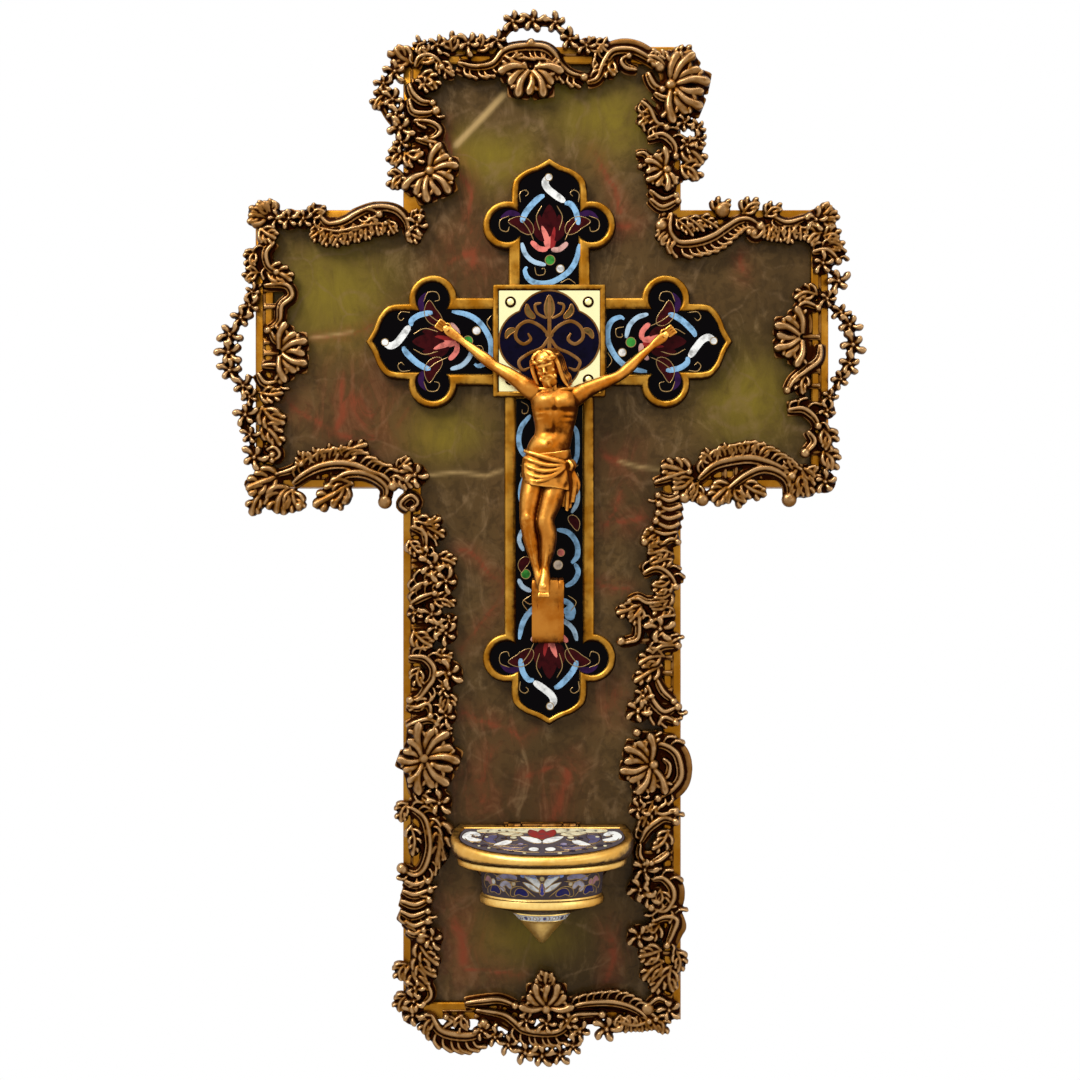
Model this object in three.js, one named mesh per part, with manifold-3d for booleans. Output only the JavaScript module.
// A wall-hung holy water stoup: a cross of onyx in a gilt frame, bordered with cast scrollwork,
// with an enamelled crucifix on its face and a lidded half-round bowl at the foot of the shaft.
// Millimetres. +X is the viewer's right, +Z is up, the face looks along -Y and the wall is y = 0.
// The origin is on the back of the board, where the arms cross the shaft.
import * as THREE from 'three';
import { mergeVertices } from 'three/addons/utils/BufferGeometryUtils.js';
import Module from 'manifold-3d';

const wasm = await Module();
wasm.setup();

// The cross: widths of its bars, and how far each end lies from the crossing.
const SHAFT_WIDTH = 125;
const ARM_HEIGHT = 125;
const ARM_REACH = 129;
const TOP_REACH = 136;
const BOTTOM_REACH = 302;

// The layers from the wall forwards.
const BOARD_THICKNESS = 7.4;
const SLAB_THICKNESS = 9;
const FRAME_WALL = 1.6;
const FRAME_SETBACK = 0.5;
const LIP_WIDTH = 8;
const LIP_THICKNESS = 3;

// Clearances: between flat seats, and round pieces that go into a hole or a recess.
const SEAT_GAP = 0.1;
const FIT_GAP = 0.3;

// The keyhole plate that hangs the stoup on a wall screw.
const HANGER_BELOW_TOP = 40;
const HANGER_WIDTH = 40;
const HANGER_HEIGHT = 20;
const HANGER_THICKNESS = 1.6;
const KEYHOLE_RADIUS = 4.5;
const KEYHOLE_SLOT_WIDTH = 4.6;
const KEYHOLE_SLOT_LENGTH = 8;
const KEYHOLE_POCKET_DEPTH = 5.4;
const KEYHOLE_POCKET_WIDTH = 11.7;
const HANGER_SCREW_SPREAD = 15.5;

// Countersunk screws, used for the hanger and for the frame's outer wall.
const SCREW_RADIUS = 0.9;
const SCREW_HEAD_RADIUS = 1.9;
const SCREW_HEAD_HEIGHT = 1.1;
const HANGER_SCREW_LENGTH = 5;
const FRAME_SCREW_LENGTH = 10;

// Studs on the crucifix and the bowl, with their nuts in pockets of the board.
const STUD_RADIUS = 2;
const STUD_SETBACK = 0.8;
const NUT_RADIUS = 4;
const NUT_THICKNESS = 3;
const NUT_POCKET_RADIUS = 5.6;
const NUT_POCKET_DEPTH = 4.2;

// The cast border: how far each kind of ornament stands off the frame's lip.
const STRIP_WIDTH = 3.4;
const STRIP_RELIEF = 1.5;
const RAIL_WIDTH = 2.8;
const RAIL_RELIEF = 3.6;
const STEM_WIDTH = 2.2;
const STEM_RELIEF = 2.2;
const FLORET_RELIEF = 4.3;
const LEAF_RELIEF = 3;
const SHELL_RELIEF = 5.4;
const PEG_RADIUS = 1.1;
const PEG_LENGTH = 2.4;

// The crucifix: its place on the cross, its arms and their three-lobed ends.
const CRUCIFIX_X = 3.3;
const CRUCIFIX_Z = 3;
const CRUCIFIX_THICKNESS = 5;
const CRUCIFIX_REACH = 82.5;
const CRUCIFIX_FOOT_REACH = 172.4;
const CRUCIFIX_TOP_WIDTH = 36.8;
const CRUCIFIX_SIDE_WIDTH = 39.6;
const CRUCIFIX_FOOT_WIDTH = 40.5;
const LOBE_RADIUS = 11;
const LOBE_SPREAD = 19;
const LOBE_BACK = 30.2;
const SHOULDER_HALF_WIDTH = 17.1;
const SHOULDER_BACK = 14;
const BAR_BORDER = 5.2;
const LOBE_BORDER = 3.4;
const ENAMEL_THICKNESS = 1;
const ENAMEL_RECESS = 1.3;
const CRUCIFIX_STUD_UP = 52;
const CRUCIFIX_STUD_DOWN = 140;

// The square plaque over the crossing of the crucifix.
const PLAQUE_SIZE = 50.5;
const PLAQUE_THICKNESS = 2.5;
const PLAQUE_FIELD_RADIUS = 12;
const PLAQUE_FIELD_SPREAD = 10.2;
const PLAQUE_PIN_SPREAD = 17.4;
const PLAQUE_PIN_RADIUS = 1;
const PLAQUE_PIN_HEAD_RADIUS = 2.1;
const PLAQUE_PIN_HEAD_HEIGHT = 1.2;
const PLAQUE_PIN_LENGTH = 4.4;

// The figure: how far its trunk and feet stand off what is behind them, and the sizes of its joints.
const TRUNK_STANDOFF = 6.8;
const FOOT_STANDOFF = 3.4;
const HAND_HALF_DEPTH = 1.4;
const SHOULDER_RADIUS = 3.6;
const SHOULDER_DEPTH = 5;
const LEG_RADIUS = 5.4;
const FIGURE_PEG_RADIUS = 1.2;
const FIGURE_PEG_LENGTH = 3;

// The figure's nails and its footrest.
const NAIL_RADIUS = 0.8;
const NAIL_HEAD_RADIUS = 1.7;
const NAIL_HEAD_HEIGHT = 1;
const HAND_NAIL_LENGTH = 7.4;
const NAIL_HOLE_DEPTH = 2.5;
const NAIL_HOLE_LENGTH = 12;
const FEET_NAIL_LENGTH = 11;
const FOOTREST_WIDTH = 14.2;
const FOOTREST_TOP_Z = -106;
const FOOTREST_HEIGHT = 29.5;
const FOOTREST_DEPTH = 11.6;
const FOOTREST_X = -0.7;

// The stoup at the foot: its place, and the D-shaped plan shared by its pieces.
const STOUP_X = 0;
const STOUP_RIM_Z = -226.3;
const PLAN_DEPTH_PER_WIDTH = 0.53;
const BACK_PLATE_THICKNESS = 2;
const BACK_PLATE_WIDTH = 66;
const BACK_PLATE_BELOW_RIM = 24;
const FLANGE_WIDTH = 75;
const FLANGE_HEIGHT = 3.7;
const FLANGE_EDGE_ROUND = 1;
const BOWL_WIDTH = 55.4;
const BOWL_FOOT_WIDTH = 53;
const BOWL_BAND_HEIGHT = 13.5;
const FOOT_RING_WIDTH = 55.5;
const FOOT_RING_HEIGHT = 3.5;
const BOWL_BASE_WIDTH = 27;
const BOWL_BASE_HEIGHT = 5;
const BOWL_WALL = 2.8;
const BOWL_BACK_WALL = 3.4;
const BOWL_FLOOR = 3;
const BOWL_ENAMEL_THICKNESS = 0.8;
const BOWL_ENAMEL_MARGIN = 1;
const FINIAL_ENAMEL_MARGIN = 0.7;
const BOWL_STUD_SPREAD = 15;
const BOWL_STUD_BELOW_RIM = 9;
const LINER_WALL = 1.2;
const LINER_RIM_WIDTH = 2.6;
const LINER_RIM_THICKNESS = 0.9;
const FINIAL_HEIGHT = 15.4;
const FINIAL_BAND_HEIGHT = 4;
const FINIAL_BAND_FOOT_WIDTH = 20;
const FINIAL_PEG_RADIUS = 2.2;
const FINIAL_PEG_LENGTH = 4;
const FINIAL_PEG_FORWARD = 5;

// The hinged lid.
const LID_WIDTH = 81;
const LID_FRONT = 46;
const LID_BACK_GAP = 0.5;
const LID_CLEARANCE = 0.4;
const LID_BACK_HEIGHT = 11.3;
const LID_FRONT_HEIGHT = 5.2;
const LID_EDGE_ROUND = 1.3;
const LID_TOP_THICKNESS = 3;
const LID_RIM_WIDTH = 7;
const LID_ENAMEL_BACK = 5.9;
const LID_ENAMEL_MARGIN = 4;
const KNUCKLE_RADIUS = 2;
const KNUCKLE_GAP = 0.4;
const LID_KNUCKLE_LENGTH = 18;
const PLATE_KNUCKLE_LENGTH = 6;
const HINGE_PIN_RADIUS = 0.9;
const HINGE_PIN_HEAD_RADIUS = 1.5;
const HINGE_PIN_HEAD_LENGTH = 0.7;

// How finely round shapes are cut.
const ROUND_SIDES = 8;
const SMALL_SIDES = 6;
const LOBE_STEPS = 5;
const PLAN_STEPS = 12;
const LEAST_RAIL_STEPS = 2;
const PEG_SIDES = 4;
const LEAST_RADIUS = 0.05;
const MERGE_DISTANCE = 1e-4;
const CUT_MARGIN = 1;
const ORNAMENT_STAGGER = 0.04;

// Depths along Y that several pieces share.
const SLAB_BACK = -(BOARD_THICKNESS + SEAT_GAP);
const SLAB_FRONT = SLAB_BACK - SLAB_THICKNESS;
const LIP_BACK = SLAB_FRONT - FIT_GAP;
const LIP_FRONT = LIP_BACK - LIP_THICKNESS;
const CASTING_SEAT = LIP_FRONT - SEAT_GAP;
const BOARD_INSET = FRAME_WALL + FIT_GAP;
const HANGER_Z = TOP_REACH - HANGER_BELOW_TOP;

const point = (x, y) => new THREE.Vector2(x, y);
const place = (x, y, z) => new THREE.Vector3(x, y, z);
const radians = THREE.MathUtils.degToRad;

// Solids: a closed geometry made ready for joining and cutting, and back again.
function solidOf(geometry) {
  const bare = geometry.clone();
  bare.deleteAttribute('normal');
  bare.deleteAttribute('uv');
  const merged = mergeVertices(bare, MERGE_DISTANCE);
  const corners = merged.index.array;
  const kept = [];
  for (let i = 0; i < corners.length; i += 3) {
    const [a, b, c] = [corners[i], corners[i + 1], corners[i + 2]];
    if (a !== b && b !== c && c !== a) kept.push(a, b, c);
  }
  const vertProperties = Float32Array.from(merged.attributes.position.array);
  const triVerts = Uint32Array.from(kept);
  return new wasm.Manifold(new wasm.Mesh({ numProp: 3, vertProperties, triVerts }));
}

function geometryOf(solid) {
  const mesh = solid.getMesh();
  const geometry = new THREE.BufferGeometry();
  geometry.setAttribute('position', new THREE.BufferAttribute(mesh.vertProperties, 3));
  geometry.setIndex(new THREE.BufferAttribute(mesh.triVerts, 1));
  geometry.computeVertexNormals();
  return geometry;
}

const cutAll = (solid, tools) => tools.reduce((rest, tool) => rest.subtract(tool), solid);
const joinAll = (solids) => solids.reduce((whole, next) => whole.add(next));

// A flat outline in X and Z, made solid from its back forwards along -Y.
function plate(outline, back, thickness) {
  const shape = new THREE.Shape(outline);
  const geometry = new THREE.ExtrudeGeometry(shape, { depth: thickness, bevelEnabled: false });
  geometry.rotateX(Math.PI / 2);
  geometry.translate(0, back, 0);
  return solidOf(geometry);
}

function circleOutline(x, z, radius, sides) {
  const outline = [];
  for (let i = 0; i < sides; i += 1) {
    const turn = (2 * Math.PI * i) / sides;
    outline.push(point(x + radius * Math.cos(turn), z + radius * Math.sin(turn)));
  }
  return outline;
}

function rectangleOutline(x, z, width, height) {
  const left = x - width / 2;
  const right = x + width / 2;
  const foot = z - height / 2;
  const top = z + height / 2;
  return [point(left, foot), point(right, foot), point(right, top), point(left, top)];
}

// A round rod along Y, from its back forwards.
const rod = (x, z, radius, back, length, sides = ROUND_SIDES) =>
  plate(circleOutline(x, z, radius, sides), back, length);

// A solid through a row of rings with as many points each, closed by a fan at both ends.
function loft(rings) {
  const count = rings[0].length;
  const last = rings.length - 1;
  const corners = rings.flat();
  const middleOf = (ring) => ring.reduce((sum, p) => sum.add(p), place(0, 0, 0)).divideScalar(count);
  const startTip = corners.push(middleOf(rings[0])) - 1;
  const endTip = corners.push(middleOf(rings[last])) - 1;
  const index = [];
  for (let i = 0; i < count; i += 1) {
    const next = (i + 1) % count;
    for (let r = 0; r < last; r += 1) {
      const low = r * count;
      const high = low + count;
      index.push(low + i, low + next, high + next, low + i, high + next, high + i);
    }
    index.push(startTip, next, i, endTip, last * count + i, last * count + next);
  }
  if (signedVolume(corners, index) < 0) index.reverse();
  const geometry = new THREE.BufferGeometry();
  geometry.setFromPoints(corners);
  geometry.setIndex(index);
  return solidOf(geometry);
}

function signedVolume(corners, index) {
  let sum = 0;
  for (let i = 0; i < index.length; i += 3) {
    const [a, b, c] = [corners[index[i]], corners[index[i + 1]], corners[index[i + 2]]];
    sum += a.dot(b.clone().cross(c));
  }
  return sum / 6;
}

// A turned piece laid along a direction: its profile is pairs of radius and distance from the start.
function turnedAlong(profile, from, direction, sides = ROUND_SIDES) {
  const turn = new THREE.Quaternion().setFromUnitVectors(place(0, 1, 0), direction.clone().normalize());
  const rings = profile.map(([radius, along]) =>
    circleOutline(0, 0, Math.max(radius, LEAST_RADIUS), sides).map((p) =>
      place(p.x, along, p.y).applyQuaternion(turn).add(from)));
  return loft(rings);
}

const screwProfile = (length) => [
  [SCREW_HEAD_RADIUS, 0],
  [SCREW_RADIUS, SCREW_HEAD_HEIGHT],
  [SCREW_RADIUS, length - 2 * SCREW_RADIUS],
  [0, length],
];
const screwHoleProfile = (length) => [
  [SCREW_HEAD_RADIUS + FIT_GAP, -CUT_MARGIN],
  [SCREW_HEAD_RADIUS + FIT_GAP, 0],
  [SCREW_RADIUS + FIT_GAP, SCREW_HEAD_HEIGHT + FIT_GAP],
  [SCREW_RADIUS + FIT_GAP, length + FIT_GAP],
];

// The cross outline, drawn in from its outer edge by an inset.
function crossOutline(inset) {
  const shaft = SHAFT_WIDTH / 2 - inset;
  const arm = ARM_HEIGHT / 2 - inset;
  const reach = ARM_REACH - inset;
  const top = TOP_REACH - inset;
  const bottom = BOTTOM_REACH - inset;
  return [
    point(-shaft, top), point(-shaft, arm), point(-reach, arm), point(-reach, -arm),
    point(-shaft, -arm), point(-shaft, -bottom), point(shaft, -bottom), point(shaft, -arm),
    point(reach, -arm), point(reach, arm), point(shaft, arm), point(shaft, top),
  ];
}

const finish = (color, roughness, metalness) =>
  new THREE.MeshStandardMaterial({ color, roughness, metalness });
const giltBronze = () => finish(0x8f6630, 0.4, 1);
const giltBrass = () => finish(0xb98a3c, 0.28, 1);
const onyx = () => finish(0x5d5238, 0.25, 0);
const darkWood = () => finish(0x4a2f1d, 0.7, 0);
const steel = () => finish(0x8c8c88, 0.4, 1);
const blueEnamel = () => finish(0x22304f, 0.22, 0);
const greyEnamel = () => finish(0x8b8798, 0.25, 0);

const stoup = new THREE.Group();

function addPiece(group, name, solid, material) {
  const mesh = new THREE.Mesh(geometryOf(solid), material);
  mesh.name = name;
  group.add(mesh);
}

// Places where studs come through the slab and the board.
const CRUCIFIX_STUDS = [
  { name: 'crucifix_nut_upper', x: CRUCIFIX_X, z: CRUCIFIX_Z + CRUCIFIX_STUD_UP },
  { name: 'crucifix_nut_lower', x: CRUCIFIX_X, z: CRUCIFIX_Z - CRUCIFIX_STUD_DOWN },
];
const BOWL_STUDS = [
  { name: 'stoup_nut_left', x: STOUP_X - BOWL_STUD_SPREAD, z: STOUP_RIM_Z - BOWL_STUD_BELOW_RIM },
  { name: 'stoup_nut_right', x: STOUP_X + BOWL_STUD_SPREAD, z: STOUP_RIM_Z - BOWL_STUD_BELOW_RIM },
];
const STUDS = [...CRUCIFIX_STUDS, ...BOWL_STUDS];
const studBore = (stud, back, length) => rod(stud.x, stud.z, STUD_RADIUS + FIT_GAP, back, length);

// Screws through the frame's outer wall into the edges of the board.
const FRAME_SCREW_Y = -BOARD_THICKNESS / 2;
const SHAFT_SCREW_Z = -(ARM_HEIGHT / 2 + BOTTOM_REACH) / 2;
const frameScrew = (name, x, z, into) => ({ name, at: place(x, FRAME_SCREW_Y, z), into });
const FRAME_SCREWS = [
  frameScrew('frame_screw_top', 0, TOP_REACH, place(0, 0, -1)),
  frameScrew('frame_screw_arm_left', -ARM_REACH, 0, place(1, 0, 0)),
  frameScrew('frame_screw_arm_right', ARM_REACH, 0, place(-1, 0, 0)),
  frameScrew('frame_screw_shaft_left', -SHAFT_WIDTH / 2, SHAFT_SCREW_Z, place(1, 0, 0)),
  frameScrew('frame_screw_shaft_right', SHAFT_WIDTH / 2, SHAFT_SCREW_Z, place(-1, 0, 0)),
  frameScrew('frame_screw_bottom', 0, -BOTTOM_REACH, place(0, 0, 1)),
];
const frameScrewHoles = () => FRAME_SCREWS.map(({ at, into }) =>
  turnedAlong(screwHoleProfile(FRAME_SCREW_LENGTH), at, into, SMALL_SIDES));

// The hanger's two screws and its keyhole.
const HANGER_SCREWS = [
  { name: 'hanger_screw_left', x: -HANGER_SCREW_SPREAD },
  { name: 'hanger_screw_right', x: HANGER_SCREW_SPREAD },
];
const hangerScrewPlace = (x) => place(x, -SEAT_GAP, HANGER_Z);
const forwards = place(0, -1, 0);
const hangerScrewHoles = () => HANGER_SCREWS.map(({ x }) =>
  turnedAlong(screwHoleProfile(HANGER_SCREW_LENGTH), hangerScrewPlace(x), forwards, SMALL_SIDES));

function addBoard() {
  const whole = plate(crossOutline(BOARD_INSET), 0, BOARD_THICKNESS);
  const back = CUT_MARGIN;
  const round = 2 * FIT_GAP;
  const hangerBed = plate(
    rectangleOutline(0, HANGER_Z, HANGER_WIDTH + round, HANGER_HEIGHT + round),
    back, back + HANGER_THICKNESS + 2 * SEAT_GAP);
  const keyholeBed = plate(
    rectangleOutline(0, HANGER_Z, KEYHOLE_POCKET_WIDTH, HANGER_HEIGHT - CUT_MARGIN),
    back, back + KEYHOLE_POCKET_DEPTH);
  const nutPockets = STUDS.map(({ x, z }) => rod(x, z, NUT_POCKET_RADIUS, back, back + NUT_POCKET_DEPTH));
  const bores = STUDS.map((stud) => studBore(stud, back, BOARD_THICKNESS + 2 * back));
  const screwHoles = [...hangerScrewHoles(), ...frameScrewHoles()];
  const tools = [hangerBed, keyholeBed, ...nutPockets, ...bores, ...screwHoles];
  addPiece(stoup, 'backing_board', cutAll(whole, tools), darkWood());
}

function addHanger() {
  const outline = rectangleOutline(0, HANGER_Z, HANGER_WIDTH, HANGER_HEIGHT);
  const whole = plate(outline, -SEAT_GAP, HANGER_THICKNESS);
  const entryZ = HANGER_Z - KEYHOLE_RADIUS / 2;
  const slotZ = entryZ + KEYHOLE_SLOT_LENGTH / 2;
  const through = HANGER_THICKNESS + 2 * CUT_MARGIN;
  const entry = rod(0, entryZ, KEYHOLE_RADIUS, CUT_MARGIN, through);
  const slotOutline = rectangleOutline(0, slotZ, KEYHOLE_SLOT_WIDTH, KEYHOLE_SLOT_LENGTH);
  const slot = plate(slotOutline, CUT_MARGIN, through);
  addPiece(stoup, 'hanger_plate', cutAll(whole, [entry.add(slot), ...hangerScrewHoles()]), steel());
  for (const { name, x } of HANGER_SCREWS) {
    const screw = turnedAlong(screwProfile(HANGER_SCREW_LENGTH), hangerScrewPlace(x), forwards, SMALL_SIDES);
    addPiece(stoup, name, screw, steel());
  }
}

function addSlab() {
  const whole = plate(crossOutline(BOARD_INSET), SLAB_BACK, SLAB_THICKNESS);
  const bores = STUDS.map((stud) => studBore(stud, SLAB_BACK + CUT_MARGIN, SLAB_THICKNESS + 2 * CUT_MARGIN));
  addPiece(stoup, 'onyx_slab', cutAll(whole, bores), onyx());
}

function addNuts() {
  for (const { name, x, z } of STUDS) {
    const seat = -NUT_POCKET_DEPTH + SEAT_GAP + NUT_THICKNESS;
    const body = rod(x, z, NUT_RADIUS, seat, NUT_THICKNESS, SMALL_SIDES);
    const bore = rod(x, z, STUD_RADIUS + FIT_GAP, seat + CUT_MARGIN, NUT_THICKNESS + 2 * CUT_MARGIN);
    addPiece(stoup, name, body.subtract(bore), steel());
  }
}

// The sides of the cross. Along a side, shares run in percent from its left or upper end. The cast
// ornaments are drawn for a side of a given length and a foot strip at a given place, and grow with it.
const DRAWN = { barEnd: 125, topSide: 73.5, arm: 66.5, shaft: 239.5, stripOut: -4 };
const STRIP_OUT = -LIP_WIDTH / 2;
const HALF_SHAFT = SHAFT_WIDTH / 2;
const HALF_ARM = ARM_HEIGHT / 2;
const side = (from, to, out, drawn) => ({ from, to, out, grow: from.distanceTo(to) / drawn });
const LEFT = point(-1, 0);
const RIGHT = point(1, 0);
const UP = point(0, 1);
const DOWN = point(0, -1);
const SIDES = {
  top: side(point(-HALF_SHAFT, TOP_REACH), point(HALF_SHAFT, TOP_REACH), UP, DRAWN.barEnd),
  top_left: side(point(-HALF_SHAFT, TOP_REACH), point(-HALF_SHAFT, HALF_ARM), LEFT, DRAWN.topSide),
  top_right: side(point(HALF_SHAFT, TOP_REACH), point(HALF_SHAFT, HALF_ARM), RIGHT, DRAWN.topSide),
  arm_left_top: side(point(-ARM_REACH, HALF_ARM), point(-HALF_SHAFT, HALF_ARM), UP, DRAWN.arm),
  arm_left_end: side(point(-ARM_REACH, HALF_ARM), point(-ARM_REACH, -HALF_ARM), LEFT, DRAWN.barEnd),
  arm_left_bottom: side(point(-ARM_REACH, -HALF_ARM), point(-HALF_SHAFT, -HALF_ARM), DOWN, DRAWN.arm),
  arm_right_top: side(point(HALF_SHAFT, HALF_ARM), point(ARM_REACH, HALF_ARM), UP, DRAWN.arm),
  arm_right_end: side(point(ARM_REACH, HALF_ARM), point(ARM_REACH, -HALF_ARM), RIGHT, DRAWN.barEnd),
  arm_right_bottom: side(point(HALF_SHAFT, -HALF_ARM), point(ARM_REACH, -HALF_ARM), DOWN, DRAWN.arm),
  shaft_left: side(point(-HALF_SHAFT, -HALF_ARM), point(-HALF_SHAFT, -BOTTOM_REACH), LEFT, DRAWN.shaft),
  shaft_right: side(point(HALF_SHAFT, -HALF_ARM), point(HALF_SHAFT, -BOTTOM_REACH), RIGHT, DRAWN.shaft),
  bottom: side(point(-HALF_SHAFT, -BOTTOM_REACH), point(HALF_SHAFT, -BOTTOM_REACH), DOWN, DRAWN.barEnd),
};

// A place on a side: its share along the side in percent, and how far outwards of the edge it is drawn.
function onSide({ from, to, out, grow }, share, drawnOut) {
  const outwards = STRIP_OUT + (drawnOut - DRAWN.stripOut) * grow;
  return from.clone().lerp(to, share / 100).addScaledVector(out, outwards);
}

function fromPlace({ from, to, out, grow }, origin, angle, distance) {
  const along = to.clone().sub(from).normalize();
  const turn = radians(angle);
  return origin.clone()
    .addScaledVector(along, grow * distance * Math.cos(turn))
    .addScaledVector(out, grow * distance * Math.sin(turn));
}

// Ornaments. Angles run from the side's own direction (0) to straight outwards (90).
const rail = (points, width = RAIL_WIDTH) => ({ kind: 'rail', points, width, relief: RAIL_RELIEF });
const stem = (points) => ({ kind: 'rail', points, width: STEM_WIDTH, relief: STEM_RELIEF });
const floret = (share, out, radius) => ({ kind: 'floret', share, out, radius, relief: FLORET_RELIEF });
const leaf = (share, out, length, angle) =>
  ({ kind: 'leaf', share, out, length, angle, relief: LEAF_RELIEF });
const shell = (share, out, radius, angle, spread = 200) =>
  ({ kind: 'shell', share, out, radius, angle, spread, relief: SHELL_RELIEF });

function railOutline(onto, { points, width }) {
  const curve = new THREE.SplineCurve(points.map(([share, out]) => onSide(onto, share, out)));
  const steps = Math.max(points.length, LEAST_RAIL_STEPS);
  const oneEdge = [];
  const otherEdge = [];
  for (let i = 0; i <= steps; i += 1) {
    const middle = curve.getPoint(i / steps);
    const along = curve.getTangent(i / steps);
    const across = point(-along.y, along.x).multiplyScalar((onto.grow * width) / 2);
    oneEdge.push(middle.clone().add(across));
    otherEdge.unshift(middle.clone().sub(across));
  }
  return [...oneEdge, ...otherEdge];
}

function floretOutline(onto, { share, out, radius }) {
  const petals = 4;
  const notch = 0.72;
  const middle = onSide(onto, share, out);
  const outline = [];
  for (let i = 0; i < 2 * petals; i += 1) {
    const reach = i % 2 === 0 ? radius : notch * radius;
    outline.push(fromPlace(onto, middle, (180 * i) / petals + 90, reach));
  }
  return outline;
}

function leafOutline(onto, { share, out, length, angle }) {
  const root = onSide(onto, share, out);
  const halfOutline = [[-0.1, 0.1], [0.3, 0.3], [0.65, 0.22]];
  const at = (along, across) =>
    fromPlace(onto, fromPlace(onto, root, angle, along * length), angle + 90, across * length);
  const oneEdge = halfOutline.map(([along, across]) => at(along, across));
  const otherEdge = halfOutline.map(([along, across]) => at(along, -across)).reverse();
  return [...oneEdge, at(1, 0), ...otherEdge];
}

function shellOutline(onto, { share, out, radius, angle, spread }) {
  const lobes = 5;
  const notch = 0.84;
  const hinge = onSide(onto, share, out);
  const outline = [fromPlace(onto, hinge, angle + 180, 0.3 * radius)];
  for (let i = 0; i <= 2 * lobes; i += 1) {
    const reach = i % 2 === 1 ? radius : notch * radius;
    outline.push(fromPlace(onto, hinge, angle - spread / 2 + (spread * i) / (2 * lobes), reach));
  }
  return outline;
}

const OUTLINES = { rail: railOutline, floret: floretOutline, leaf: leafOutline, shell: shellOutline };

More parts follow.
